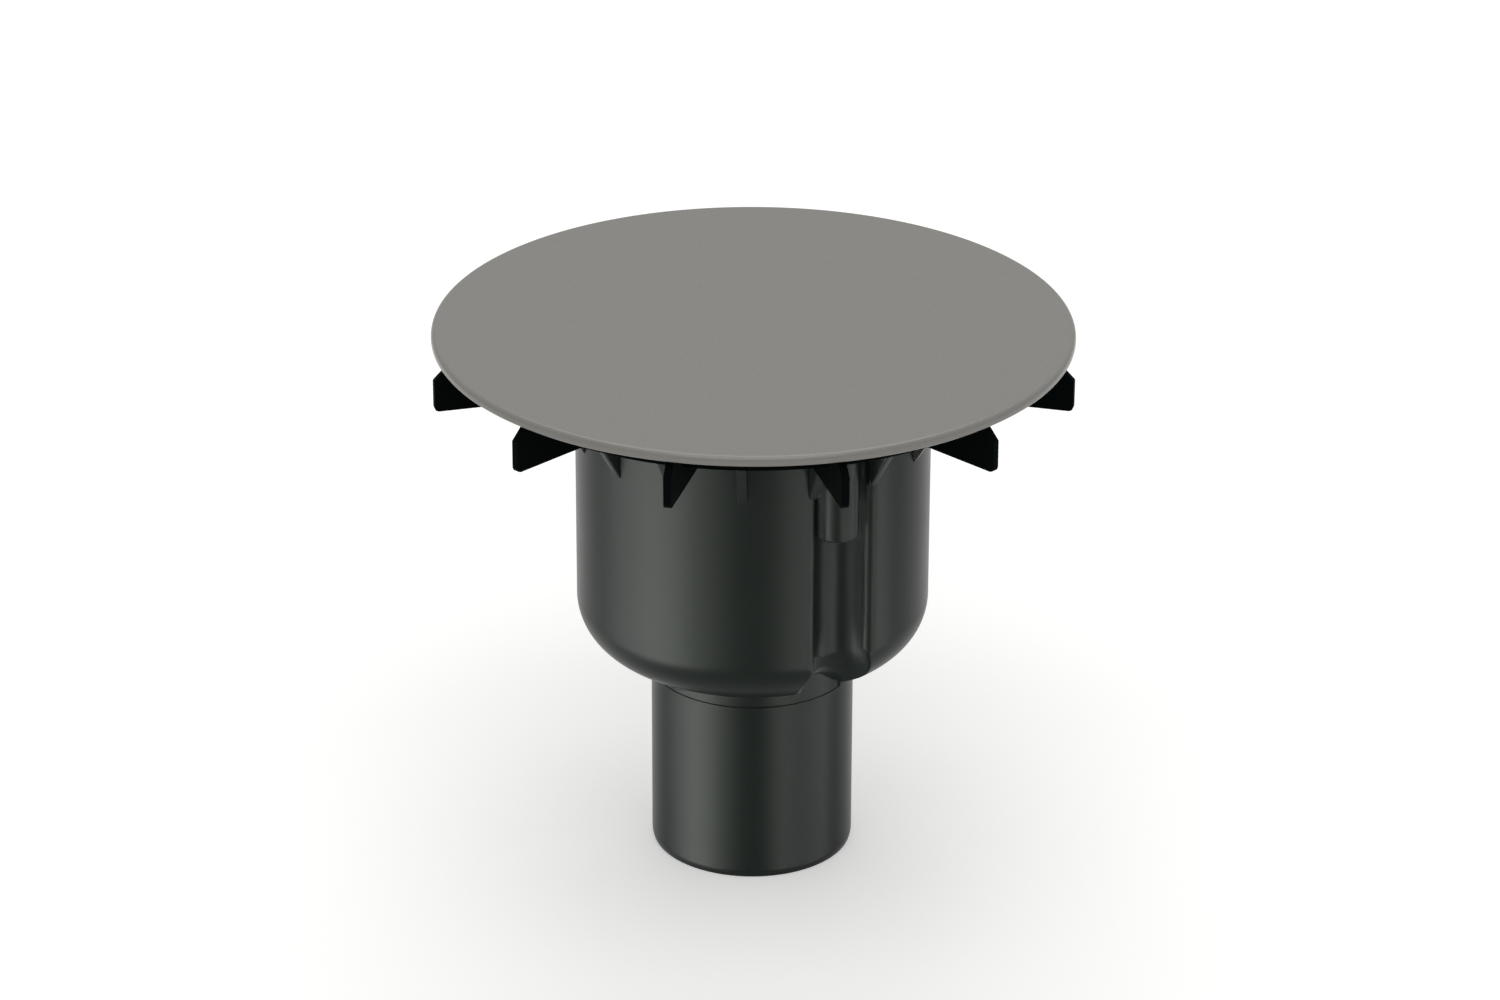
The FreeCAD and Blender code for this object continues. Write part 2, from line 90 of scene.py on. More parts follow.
def coverEnamel():
    # vitreous enamel fired on steel: even satin grey, a faint orange peel and tiny paler specks
    look = enamel
    material, tree, place, shader = newMaterial("satinEnamelOnSteel")
    specks = addNode(tree, "ShaderNodeTexNoise", Vector=place, Scale=perMetre(look["speckle"]), Detail=1.0)
    blend = addNode(tree, "ShaderNodeMapRange", Value=specks.outputs["Fac"],
                    From_Min=look["speckleFrom"], From_Max=look["speckleTo"])
    colour = addNode(tree, "ShaderNodeMix", {"data_type": "RGBA"}, Factor=blend.outputs["Result"],
                     _6=linearColour(look["colour"]), _7=linearColour(look["paler"]))
    peel = addNode(tree, "ShaderNodeTexNoise", Vector=place, Scale=perMetre(look["peel"]), Detail=2.0)
    bump = addNode(tree, "ShaderNodeBump", Height=peel.outputs["Fac"], Strength=0.12,
                   Distance=look["peelDepth"] * mm)
    tree.links.new(colour.outputs[2], shader.inputs["Base Color"])
    tree.links.new(bump.outputs["Normal"], shader.inputs["Normal"])
    setSockets(shader, Roughness=look["roughness"], Specular_IOR_Level=look["specular"], IOR=1.5)
    return material


blackPlastic = {"colour": "#0D110F", "dusty": "#121614", "roughness": 0.31, "spread": 0.03, "specular": 0.1,
                "gloss": "#F7FFF6", "cloud": 14.0, "grain": 0.9, "grainDepth": 0.012}


def bodyPlastic():
    # injection moulded black polypropylene: soft gloss, faint cloudy flow marks and a fine skin
    look = blackPlastic
    material, tree, place, shader = newMaterial("mouldedBlackPolypropylene")
    cloud = addNode(tree, "ShaderNodeTexNoise", Vector=place, Scale=perMetre(look["cloud"]), Detail=3.0)
    colour = addNode(tree, "ShaderNodeMix", {"data_type": "RGBA"}, Factor=cloud.outputs["Fac"],
                     _6=linearColour(look["colour"]), _7=linearColour(look["dusty"]))
    rough = addNode(tree, "ShaderNodeMapRange", Value=cloud.outputs["Fac"],
                    To_Min=look["roughness"] - look["spread"], To_Max=look["roughness"] + look["spread"])
    grain = addNode(tree, "ShaderNodeTexNoise", Vector=place, Scale=perMetre(look["grain"]), Detail=2.0)
    bump = addNode(tree, "ShaderNodeBump", Height=grain.outputs["Fac"], Strength=0.1,
                   Distance=look["grainDepth"] * mm)
    tree.links.new(colour.outputs[2], shader.inputs["Base Color"])
    tree.links.new(rough.outputs["Result"], shader.inputs["Roughness"])
    tree.links.new(bump.outputs["Normal"], shader.inputs["Normal"])
    setSockets(shader, Specular_IOR_Level=look["specular"], IOR=1.49,
               Specular_Tint=linearColour(look["gloss"]))
    return material


finPlastic = {"colour": "#010505", "worn": "#030808", "roughness": 0.7, "specular": 0.03, "texture": 0.6,
              "textureDepth": 0.02}


def carrierPlastic():
    # moulded black ABS with a spark-eroded finish: matt and nearly without highlights
    look = finPlastic
    material, tree, place, shader = newMaterial("mattBlackAbs")
    spark = addNode(tree, "ShaderNodeTexNoise", Vector=place, Scale=perMetre(look["texture"]), Detail=2.0)
    colour = addNode(tree, "ShaderNodeMix", {"data_type": "RGBA"}, Factor=spark.outputs["Fac"],
                     _6=linearColour(look["colour"]), _7=linearColour(look["worn"]))
    bump = addNode(tree, "ShaderNodeBump", Height=spark.outputs["Fac"], Strength=0.25,
                   Distance=look["textureDepth"] * mm)
    tree.links.new(colour.outputs[2], shader.inputs["Base Color"])
    tree.links.new(bump.outputs["Normal"], shader.inputs["Normal"])
    setSockets(shader, Roughness=look["roughness"], Specular_IOR_Level=look["specular"], IOR=1.53)
    return material


greyPlastic = {"colour": "#A9ACAB", "pale": "#B4B7B5", "roughness": 0.38, "flow": 22.0, "grain": 1.0,
               "grainDepth": 0.012}


def bellPlastic():
    # natural grey polypropylene: slightly waxy gloss with pale flow marks
    look = greyPlastic
    material, tree, place, shader = newMaterial("mouldedGreyPolypropylene")
    flow = addNode(tree, "ShaderNodeTexNoise", Vector=place, Scale=perMetre(look["flow"]), Detail=3.0)
    colour = addNode(tree, "ShaderNodeMix", {"data_type": "RGBA"}, Factor=flow.outputs["Fac"],
                     _6=linearColour(look["colour"]), _7=linearColour(look["pale"]))
    grain = addNode(tree, "ShaderNodeTexNoise", Vector=place, Scale=perMetre(look["grain"]), Detail=2.0)
    bump = addNode(tree, "ShaderNodeBump", Height=grain.outputs["Fac"], Strength=0.1,
                   Distance=look["grainDepth"] * mm)
    tree.links.new(colour.outputs[2], shader.inputs["Base Color"])
    tree.links.new(bump.outputs["Normal"], shader.inputs["Normal"])
    setSockets(shader, Roughness=look["roughness"], IOR=1.49)
    return material


steel = {"colour": "#B9BABA", "dark": "#9FA1A2", "roughness": 0.3, "spread": 0.1, "line": 0.35,
         "lineDepth": 0.01}


def stainlessSteel():
    # stainless sheet turned on a lathe: fine rings round the axis that catch the light in a fan
    look = steel
    material, tree, place, shader = newMaterial("turnedStainlessSteel")
    flat = addNode(tree, "ShaderNodeVectorMath", {"operation": "MULTIPLY"}, _0=place, _1=(1.0, 1.0, 0.0))
    radius = addNode(tree, "ShaderNodeVectorMath", {"operation": "LENGTH"}, _0=flat.outputs["Vector"])
    rings = addNode(tree, "ShaderNodeTexNoise", {"noise_dimensions": "1D"}, W=radius.outputs["Value"],
                    Scale=perMetre(look["line"]), Detail=3.0)
    colour = addNode(tree, "ShaderNodeMix", {"data_type": "RGBA"}, Factor=rings.outputs["Fac"],
                     _6=linearColour(look["dark"]), _7=linearColour(look["colour"]))
    rough = addNode(tree, "ShaderNodeMapRange", Value=rings.outputs["Fac"],
                    To_Min=look["roughness"] - look["spread"], To_Max=look["roughness"] + look["spread"])
    bump = addNode(tree, "ShaderNodeBump", Height=rings.outputs["Fac"], Strength=0.2,
                   Distance=look["lineDepth"] * mm)
    tree.links.new(colour.outputs[2], shader.inputs["Base Color"])
    tree.links.new(rough.outputs["Result"], shader.inputs["Roughness"])
    tree.links.new(bump.outputs["Normal"], shader.inputs["Normal"])
    setSockets(shader, Metallic=1.0)
    return material


brass = {"colour": "#C8A255", "dull": "#A98541", "roughness": 0.28, "patch": 3.0, "line": 1.885,
         "lineDepth": 0.02}
waveBand = math.tau / 20  # a wave texture with a scale of 1 repeats after this length


def insertBrass():
    # turned brass: warm yellow, duller in places
    # the tool marks are drawn coarser than real ones, so that they show
    look = brass
    material, tree, place, shader = newMaterial("turnedBrass")
    marks = addNode(tree, "ShaderNodeTexWave", {"bands_direction": "Z"}, Vector=place,
                    Scale=perMetre(look["line"]) * waveBand, Distortion=0.6, Detail=1.0)
    dull = addNode(tree, "ShaderNodeTexNoise", Vector=place, Scale=perMetre(look["patch"]), Detail=2.0)
    colour = addNode(tree, "ShaderNodeMix", {"data_type": "RGBA"}, Factor=dull.outputs["Fac"],
                     _6=linearColour(look["colour"]), _7=linearColour(look["dull"]))
    bump = addNode(tree, "ShaderNodeBump", Height=marks.outputs["Fac"], Strength=0.3,
                   Distance=look["lineDepth"] * mm)
    tree.links.new(colour.outputs[2], shader.inputs["Base Color"])
    tree.links.new(bump.outputs["Normal"], shader.inputs["Normal"])
    setSockets(shader, Metallic=1.0, Roughness=look["roughness"])
    return material


rubber = {"colour": "#1C1D1D", "bloom": "#2B2C2C", "roughness": 0.78, "patch": 5.0, "grain": 0.5,
          "grainDepth": 0.03}


def sealRubber():
    # EPDM rubber: dull charcoal with a greyish bloom in soft patches
    look = rubber
    material, tree, place, shader = newMaterial("epdmRubber")
    patch = addNode(tree, "ShaderNodeTexNoise", Vector=place, Scale=perMetre(look["patch"]), Detail=4.0)
    colour = addNode(tree, "ShaderNodeMix", {"data_type": "RGBA"}, Factor=patch.outputs["Fac"],
                     _6=linearColour(look["colour"]), _7=linearColour(look["bloom"]))
    grain = addNode(tree, "ShaderNodeTexNoise", Vector=place, Scale=perMetre(look["grain"]), Detail=2.0)
    bump = addNode(tree, "ShaderNodeBump", Height=grain.outputs["Fac"], Strength=0.3,
                   Distance=look["grainDepth"] * mm)
    tree.links.new(colour.outputs[2], shader.inputs["Base Color"])
    tree.links.new(bump.outputs["Normal"], shader.inputs["Normal"])
    setSockets(shader, Roughness=look["roughness"], Specular_IOR_Level=0.3, IOR=1.5)
    return material


sharpFrom = 28  # degrees: an edge stays sharp where its two faces turn by more than this


def placePiece(bm, name, node, material):
    mesh = bpy.data.meshes.new(name)
    bm.to_mesh(mesh)
    bm.free()
    mesh.shade_smooth()
    mesh.set_sharp_from_angle(angle=math.radians(sharpFrom))
    mesh.materials.append(material)
    piece = bpy.data.objects.new(name, mesh)
    scene.collection.objects.link(piece)
    # large faces stay flat beside narrow ones
    shading = piece.modifiers.new("evenShading", "WEIGHTED_NORMAL")
    shading.keep_sharp = True
    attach(piece, "root")
    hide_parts(node)
    print(name, len(mesh.polygons), "faces")
    return piece


weld = {"turned": 0.001, "cut": 0.0005, "samePlace": 0.002}  # points that are closer than this are one
past = 1.0  # how far a cutting form reaches past the face that it cuts


def isAt(length, size):
    # a length of the mesh, in metres, has this size in millimetres
    return abs(length - size * mm) < weld["samePlace"] * mm


def vertsOf(geometry):
    return [v for v in geometry if isinstance(v, bmesh.types.BMVert)]


def roundEdges(bm, edges, width, segments):
    bmesh.ops.bevel(bm, geom=edges, offset=width * mm, affect="EDGES", segments=segments, profile=0.5,
                    material=-1)


def spun(corners, steps, rounded=()):
    # a turned form: the closed outline of (radius, height) goes once round the axis, then rims are rounded
    # rounded holds (radius, height, width, segments) of each rim
    bm = bmesh.new()
    line = [bm.verts.new((r * mm, 0, z * mm)) for r, z in corners]
    edges = [bm.edges.new((line[i - 1], line[i])) for i in range(len(line))
             if not corners[i - 1][0] == corners[i][0] == 0]
    bmesh.ops.spin(bm, geom=line + edges, cent=(0, 0, 0), axis=(0, 0, 1), angle=math.tau, steps=steps,
                   use_merge=True)
    bmesh.ops.remove_doubles(bm, verts=bm.verts, dist=weld["turned"] * mm)
    bmesh.ops.recalc_face_normals(bm, faces=bm.faces)
    for radius, height, width, segments in rounded:
        rim = [e for e in bm.edges
               if all(isAt(v.co.z, height) and isAt(v.co.xy.length, radius) for v in e.verts)]
        roundEdges(bm, rim, width, segments)
    return bm


def plate(corners, thickness, edge=0.0):
    # a flat plate on the XZ plane, from its outline and half the thickness to each side, with rounded edges
    bm = bmesh.new()
    face = bm.faces.new([bm.verts.new((x * mm, -thickness * mm / 2, z * mm)) for x, z in corners])
    grown = bmesh.ops.extrude_face_region(bm, geom=[face], use_keep_orig=True)["geom"]
    bmesh.ops.translate(bm, verts=vertsOf(grown), vec=(0, thickness * mm, 0))
    bmesh.ops.recalc_face_normals(bm, faces=bm.faces)
    if edge:
        roundEdges(bm, bm.edges[:], edge, segments=2)
    return bm


def rod(radius, y, bottom, top, segments, footEdge=0.0):
    bm = bmesh.new()
    middle = Vector((0, y, (top + bottom) / 2)) * mm
    bmesh.ops.create_cone(bm, cap_ends=True, segments=segments, radius1=radius * mm, radius2=radius * mm,
                          depth=(top - bottom) * mm, matrix=Matrix.Translation(middle))
    if footEdge:
        foot = [e for e in bm.edges if all(isAt(v.co.z, bottom) for v in e.verts)]
        roundEdges(bm, foot, footEdge, segments=4)
    return bm


def ringOf(bm, count, first=0.0):
    # turns the form to its first angle and repeats it evenly about the axis
    source = bm.verts[:] + bm.edges[:] + bm.faces[:]
    bmesh.ops.rotate(bm, verts=bm.verts, cent=(0, 0, 0), matrix=Matrix.Rotation(math.radians(first), 3, "Z"))
    for i in range(1, count):
        twin = bmesh.ops.duplicate(bm, geom=source)["geom"]
        bmesh.ops.rotate(bm, verts=vertsOf(twin), cent=(0, 0, 0),
                         matrix=Matrix.Rotation(math.tau * i / count, 3, "Z"))
    return bm


def combined(base, tool, operation):
    # joins the tool to the base, or cuts it away, and gives the closed result
    made = []
    for bm in (base, tool):
        mesh = bpy.data.meshes.new("workForm")
        bm.to_mesh(mesh)
        bm.free()
        made.append(bpy.data.objects.new("workForm", mesh))
        scene.collection.objects.link(made[-1])
    step = made[0].modifiers.new("step", "BOOLEAN")
    step.operation, step.solver, step.object = operation, "EXACT", made[1]
    graph = bpy.context.evaluated_depsgraph_get()
    result = bpy.data.meshes.new_from_object(made[0].evaluated_get(graph))
    bm = bmesh.new()
    bm.from_mesh(result)
    bmesh.ops.remove_doubles(bm, verts=bm.verts, dist=weld["cut"] * mm)
    bpy.data.meshes.remove(result)
    for work in made:
        bpy.data.meshes.remove(work.data)
    return bm


cover = {"radius": 77.7, "under": 135.8, "thickness": 2.4, "topEdge": 1.3, "underEdge": 0.6, "flatInset": 0.4,
         "steps": 256}


def makeCover(material):
    radius, under, top = cover["radius"], cover["under"], cover["under"] + cover["thickness"]
    rims = [(radius, top, cover["topEdge"], 10), (radius, under, cover["underEdge"], 4)]
    flat = radius - cover["topEdge"] - cover["flatInset"]  # ends the flat faces short of the rounded edges
    disc = spun([(0, under), (flat, under), (radius, under), (radius, top), (flat, top), (0, top)],
                cover["steps"], rims)
    return placePiece(disc, "coverPlate", "cover_plate", material)


carrier = {"inner": 34.0, "outer": 68.0, "top": 135.8, "plate": 1.8, "lip": 5.4, "lipWall": 2.0,
           "ringEdge": 0.35, "fins": 12, "finRadius": 79.0, "finFoot": 124.6, "finStep": 53.0,
           "finRest": 129.0, "finChamfer": 3.4, "finCorner": 1.0, "finCornerInset": 0.29, "finRoot": 0.5,
           "finThickness": 2.0, "finEdge": 0.22, "steps": 240}


def makeCarrier(material):
    c = carrier
    under, lipFoot, lipInner = c["top"] - c["plate"], c["top"] - c["lip"], c["outer"] - c["lipWall"]
    rims = [(c["outer"], lipFoot, c["ringEdge"], 3), (lipInner, lipFoot, c["ringEdge"], 3),
            (c["inner"], under, c["ringEdge"], 3)]
    ring = spun([(c["inner"], under), (lipInner, under), (lipInner, lipFoot), (c["outer"], lipFoot),
                 (c["outer"], c["top"]), (c["inner"], c["top"])], c["steps"], rims)
    root, tip, foot = c["inner"] + c["finRoot"], c["finRadius"], c["finFoot"]
    corner, inset, chamfer = c["finCorner"], c["finCornerInset"], c["finChamfer"]
    fin = plate([(root, c["finRest"]), (c["finStep"], c["finRest"]), (c["finStep"], foot),
                 (tip - corner, foot), (tip - inset, foot + inset), (tip, foot + corner),
                 (tip, c["top"] - chamfer), (tip - chamfer, c["top"]), (root, c["top"])],
                c["finThickness"], c["finEdge"])
    crown = combined(ring, ringOf(fin, c["fins"], 180 / c["fins"]), "UNION")
    return placePiece(crown, "finCarrier", "fin_carrier", material)


trap = {"neckFoot": 47.3, "neckRadius": 25.0, "neckBore": 21.55, "neckChamfer": 0.15, "floor": 54.2,
        "radius": 43.3, "wall": 2.5, "rounding": 13.5, "flangeFoot": 122.8, "flangeTop": 125.0,
        "flangeRadius": 51.0, "flangeEdge": 0.5, "grooveCentre": 42.0, "grooveRadius": 7.0, "grooveBend": 9.9,
        "bendHeight": 65.5, "bendSteps": 24, "flareTop": 67.5, "flareFoot": 53.2, "flareRadius": 12.6,
        "flareDepth": 0.85, "flareInset": 0.03, "lip": 2.5, "lipRunOut": 0.006, "lipOverlap": 0.3,
        "wedgeSide": 0.8, "wedgeOut": 2.3, "bossCentre": 39.4, "bossRadius": 5.25, "bossFoot": 98.3,
        "bossEdge": 0.6, "bossInset": 0.5, "gussets": 16, "gussetThickness": 2.4, "gussetHeight": 12.2,
        "gussetReach": 7.4, "gussetEdge": 0.45, "gussetInset": 0.6, "neckRibs": 3, "ribWidth": 2.0,
        "ribHeight": 0.5, "ribRoot": 2.0, "ribInset": 0.5, "ribEdge": 0.15, "insertRadius": 3.0,
        "insertFloor": 116.0, "screwHole": 2.25, "screwFloor": 102.5, "steps": 360}
facingDown = -0.9  # a face points down where its normal's height is less than this


def bentUnder(bm):
    # what stands on the bend's height goes on round the bend, inwards under the floor, with a twin opposite
    t = trap
    bend = Vector((0, t["grooveBend"] + t["grooveRadius"] - t["grooveCentre"], t["bendHeight"])) * mm
    foot = [f for f in bm.faces if f.normal.z < facingDown]
    swept = foot + [e for f in foot for e in f.edges] + [v for f in foot for v in f.verts]
    bmesh.ops.spin(bm, geom=swept, cent=bend, axis=(1, 0, 0), angle=math.pi / 2, steps=t["bendSteps"])
    bmesh.ops.remove_doubles(bm, verts=bm.verts, dist=weld["cut"] * mm)
    bmesh.ops.recalc_face_normals(bm, faces=bm.faces)
    return ringOf(bm, 2)


def grooveForm(radius, top):
    return bentUnder(rod(radius, -trap["grooveCentre"], trap["bendHeight"], top, segments=72))


def flareForm(grow):
    # a flattened cone that widens each groove's lower end, where it runs in under the rounded bottom
    t = trap
    bm = bmesh.new()
    bmesh.ops.create_cone(bm, cap_ends=True, segments=96, radius1=(t["flareRadius"] + grow) * mm,
                          radius2=(t["grooveRadius"] + grow - t["flareInset"]) * mm,
                          depth=(t["flareTop"] - t["flareFoot"]) * mm)
    bmesh.ops.scale(bm, verts=bm.verts, vec=(1, t["flareDepth"], 1))
    middle = Vector((0, -t["grooveCentre"], (t["flareTop"] + t["flareFoot"]) / 2))
    bmesh.ops.translate(bm, verts=bm.verts, vec=middle * mm)
    return ringOf(bm, 2)


def lipForm():
    # what comes off the groove's two lips to round them: a wedge less a rod that touches wall and groove
    t = trap
    centre, groove, lip = t["grooveCentre"], t["grooveRadius"], t["lip"]
    inner, reach = t["radius"] - lip, groove + lip
    foot, top = t["bendHeight"], t["flangeFoot"] - t["gussetHeight"] + t["lipOverlap"]
    depth = (inner ** 2 + centre ** 2 - reach ** 2) / (2 * centre)
    side = math.sqrt(inner ** 2 - depth ** 2)
    onGroove = (side * groove / reach, centre + (depth - centre) * groove / reach)
    onWall = (side * t["radius"] / inner, depth * t["radius"] / inner)
    outside = (onGroove[0] - t["wedgeSide"], onWall[1] + t["wedgeOut"])
    wedge = plate([(side, depth), onGroove, outside, onWall], top - foot)
    bmesh.ops.rotate(wedge, verts=wedge.verts, cent=(0, 0, 0), matrix=Matrix.Rotation(math.pi / 2, 3, "X"))
    bmesh.ops.translate(wedge, verts=wedge.verts, vec=(0, 0, (top + foot) / 2 * mm))
    # the rod is a hair thicker than the rounding, so that it runs out into both faces
    core = rod(lip + t["lipRunOut"], -depth, foot - past, top + past, segments=96)
    bmesh.ops.translate(core, verts=core.verts, vec=(side * mm, 0, 0))
    wedge = combined(wedge, core, "DIFFERENCE")
    twin = bmesh.ops.duplicate(wedge, geom=wedge.verts[:] + wedge.edges[:] + wedge.faces[:])["geom"]
    bmesh.ops.scale(wedge, verts=vertsOf(twin), vec=(-1, 1, 1))
    bmesh.ops.recalc_face_normals(wedge, faces=wedge.faces)
    return bentUnder(wedge)


def makeTrapBody(material):
    t = trap
    radius, inner = t["radius"], t["radius"] - t["wall"]
    floor, innerFloor = t["floor"], t["floor"] + t["wall"]
    flange, under, top = t["flangeRadius"], t["flangeFoot"], t["flangeTop"]
    neck, chamfer = t["neckRadius"], t["neckChamfer"]
    ribFoot = t["neckFoot"] + chamfer

    rims = [(radius, floor, t["rounding"], 28), (flange, under, t["flangeEdge"], 3),
            (flange, top, t["flangeEdge"], 3)]
    body = spun([(0, t["neckFoot"]), (neck - chamfer, t["neckFoot"]), (neck, ribFoot), (neck, floor),
                 (radius, floor), (radius, under), (flange, under), (flange, top), (0, top)],
                t["steps"], rims)
    body = combined(body, grooveForm(t["grooveRadius"], under), "DIFFERENCE")
    body = combined(body, lipForm(), "DIFFERENCE")
    body = combined(body, flareForm(0), "DIFFERENCE")

    boss = rod(t["bossRadius"], -t["bossCentre"], t["bossFoot"], top - t["bossInset"], 64, t["bossEdge"])
    body = combined(body, ringOf(boss, 2), "UNION")

    root, tip, foot = inner + t["gussetInset"], radius + t["gussetReach"], under - t["gussetHeight"]
    crest = top - t["gussetInset"]
    gusset = plate([(root, foot), (radius, foot), (tip, under), (tip, crest), (root, crest)],
                   t["gussetThickness"], t["gussetEdge"])
    body = combined(body, ringOf(gusset, t["gussets"], 180 / t["gussets"]), "UNION")

    root, face, ribTop = neck - t["ribRoot"], neck + t["ribHeight"], innerFloor - t["ribInset"]
    rib = plate([(root, ribFoot), (face, ribFoot), (face, ribTop), (root, ribTop)],
                t["ribWidth"], t["ribEdge"])
    body = combined(body, ringOf(rib, t["neckRibs"], 180), "UNION")

    # the room inside keeps the wall's thickness round the grooves
    room = spun([(0, innerFloor), (inner, innerFloor), (inner, top + past), (0, top + past)], t["steps"],
                [(inner, innerFloor, t["rounding"] - t["wall"], 20)])
    room = combined(room, grooveForm(t["grooveRadius"] + t["wall"], top + 2 * past), "DIFFERENCE")
    room = combined(room, flareForm(t["wall"]), "DIFFERENCE")
    body = combined(body, room, "DIFFERENCE")

    bore = rod(t["neckBore"], 0, t["neckFoot"] - past, innerFloor + past, segments=240)
    body = combined(body, bore, "DIFFERENCE")
    for hole, holeFloor in ((t["insertRadius"], t["insertFloor"]), (t["screwHole"], t["screwFloor"])):
        drill = rod(hole, -t["bossCentre"], holeFloor, top + past, segments=48)
        body = combined(body, ringOf(drill, 2), "DIFFERENCE")
    return placePiece(body, "trapBody", "trap_body", material)


spigot = {"radius": 25.0, "bore": 22.5, "joint": 47.3, "jointChamfer": 0.15, "endStep": 0.4,
          "endChamfer": 1.5, "endRounding": 0.6, "endEdge": 0.35, "reducer": 5.0, "pipeRadius": 21.5,
          "pipeBore": 19.5, "weir": 112.0, "weirEdge": 0.5, "steps": 256}


def makeSpigot(material):
    s = spigot
    outer, joint, chamfer = s["radius"], s["joint"], s["jointChamfer"]
    end, weir = outer - s["endStep"], s["weir"]
    rims = [(outer, s["endChamfer"], s["endRounding"], 4), (end, 0, s["endEdge"], 4),
            (s["bore"], 0, s["endEdge"], 4), (s["pipeRadius"], weir, s["weirEdge"], 4),
            (s["pipeBore"], weir, s["weirEdge"], 4)]
    pipe = spun([(s["bore"], 0), (end, 0), (outer, s["endChamfer"]), (outer, joint - chamfer),
                 (outer - chamfer, joint), (s["pipeRadius"], joint), (s["pipeRadius"], weir),
                 (s["pipeBore"], weir), (s["pipeBore"], joint), (s["bore"], joint - s["reducer"])],
                s["steps"], rims)
    return placePiece(pipe, "outletSpigot", "outlet_spigot", material)


bell = {"foot": 62.0, "footEdge": 0.4, "ceiling": 118.0, "radius": 30.5, "wall": 1.8, "shoulder": 6.0,
        "ribs": 4, "ribThickness": 1.6, "ribFoot": 92.0, "ribSeat": 19.5, "ribGuide": 21.9, "ribSlant": 3.0,
        "ribEdge": 0.2, "weir": 112.0, "gripWidth": 26.0, "gripHeight": 8.0, "gripThickness": 2.4,
        "gripCorner": 4.0, "gripEdge": 0.3, "steps": 240}
outlineTurn = 1.0  # radians: the faces turn by more than this at the grip's outline


def makeBell(material):
    b = bell
    inner, top, crest = b["radius"] - b["wall"], b["ceiling"] + b["wall"], b["ceiling"] + b["wall"] / 2
    rims = [(b["radius"], top, b["shoulder"], 12), (inner, b["ceiling"], b["shoulder"] - b["wall"], 10),
            (inner, b["foot"], b["footEdge"], 3), (b["radius"], b["foot"], b["footEdge"], 3)]
    shell = spun([(0, b["ceiling"]), (inner, b["ceiling"]), (inner, b["foot"]), (b["radius"], b["foot"]),
                  (b["radius"], top), (0, top)], b["steps"], rims)

    root, slant = inner + b["wall"] / 2, b["ribSlant"]
    rib = plate([(b["ribSeat"], b["weir"]), (b["ribGuide"], b["weir"]), (b["ribGuide"], b["ribFoot"]),
                 (root, b["ribFoot"]), (root, b["ceiling"] - slant), (inner - slant, crest),
                 (b["ribSeat"], crest)], b["ribThickness"], b["ribEdge"])
    shell = combined(shell, ringOf(rib, b["ribs"], 180 / b["ribs"]), "UNION")

    half, gripTop = b["gripWidth"] / 2, top + b["gripHeight"]
    grip = plate([(-half, crest), (half, crest), (half, gripTop), (-half, gripTop)], b["gripThickness"])
    corners = [e for e in grip.edges if all(isAt(v.co.z, gripTop) for v in e.verts)
               and isAt(e.verts[0].co.x - e.verts[1].co.x, 0)]
    roundEdges(grip, corners, b["gripCorner"], segments=8)
    outline = [e for e in grip.edges if e.calc_face_angle() > outlineTurn]
    roundEdges(grip, outline, b["gripEdge"], segments=2)
    return placePiece(combined(shell, grip, "UNION"), "trapBell", "trap_bell", material)


clamp = {"inner": 34.0, "outer": 51.0, "under": 127.0, "top": 129.0, "slope": 1.0, "edge": 0.25,
         "screwAt": 39.4, "hole": 2.25, "sink": 4.15, "sinkSteps": 64, "steps": 240}


def makeClampFlange(material):
    c = clamp
    under, top = c["under"], c["top"]
    rims = [(c["outer"], top, c["edge"], 3), (c["outer"], under, c["edge"], 3),
            (c["inner"], under, c["edge"], 3)]
    ring = spun([(c["inner"], under), (c["outer"], under), (c["outer"], top), (c["inner"] + c["slope"], top),
                 (c["inner"], top - c["slope"])], c["steps"], rims)
    depth = c["sink"] - c["hole"]
    sink = spun([(0, under - past), (c["hole"], under - past), (c["hole"], top - depth),
                 (c["sink"] + past, top + past), (0, top + past)], c["sinkSteps"])
    bmesh.ops.translate(sink, verts=sink.verts, vec=(0, -c["screwAt"] * mm, 0))
    ring = combined(ring, ringOf(sink, 2), "DIFFERENCE")
    return placePiece(ring, "clampFlange", "clamp_flange", material)


screw = {"at": 39.4, "radius": 2.0, "end": 104.0, "endChamfer": 0.5, "top": 129.0, "headRadius": 3.8,
         "headRim": 0.3, "headEdge": 0.1, "recessWidth": 1.0, "recessSpan": 4.2, "recessDepth": 1.2,
         "steps": 64}


def makeScrews(material):
    s = screw
    end, chamfer, top = s["end"], s["endChamfer"], s["top"]
    rim, head = top - s["headRim"], s["headRadius"]
    body = spun([(0, end), (s["radius"] - chamfer, end), (s["radius"], end + chamfer),
                 (s["radius"], rim - head + s["radius"]), (head, rim), (head, top), (0, top)],
                s["steps"], [(head, top, s["headEdge"], 2)])
    half, recessFloor = s["recessSpan"] / 2, top - s["recessDepth"]
    for turn in (0, 90):  # the two bars of the cross recess
        bar = plate([(-half, recessFloor), (half, recessFloor), (half, top + past), (-half, top + past)],
                    s["recessWidth"])
        body = combined(body, ringOf(bar, 1, turn), "DIFFERENCE")
    bmesh.ops.translate(body, verts=body.verts, vec=(0, -s["at"] * mm, 0))
    return placePiece(ringOf(body, 2), "flangeScrews", "flange_screws", material)


insert = {"at": 39.4, "radius": 3.0, "bore": 2.05, "foot": 116.0, "footEdge": 0.3, "top": 125.0,
          "topEdge": 0.2, "steps": 64}


